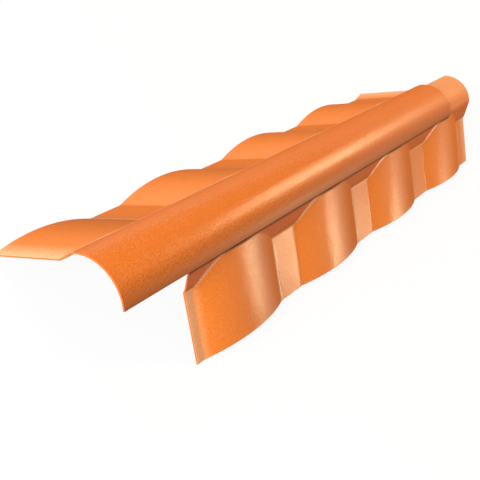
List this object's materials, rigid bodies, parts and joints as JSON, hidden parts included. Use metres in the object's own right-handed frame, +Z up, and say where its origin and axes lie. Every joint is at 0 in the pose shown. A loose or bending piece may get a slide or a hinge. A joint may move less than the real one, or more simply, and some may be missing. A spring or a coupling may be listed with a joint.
{
  "type": "ridge tile",
  "caption": "Plastic roof ridge tile in an upper and a lower half: wavy wings with flat pans, and a rounded cap lying over the lower half's roll.",
  "frame": {"origin": "centre of the bounding box at its base, where the wings' lower edges rest", "axes": "+Z up, +Y along the ridge towards the end where the lower half sticks out, +X towards the lower half's wing"},
  "size_m": [0.219, 0.92, 0.104],
  "materials": {
    "sheet": "satin, finely grained"
  },
  "bodies": {
    "root": {"upper_half": "sheet", "lower_half": "sheet"}
  },
  "joints": []
}
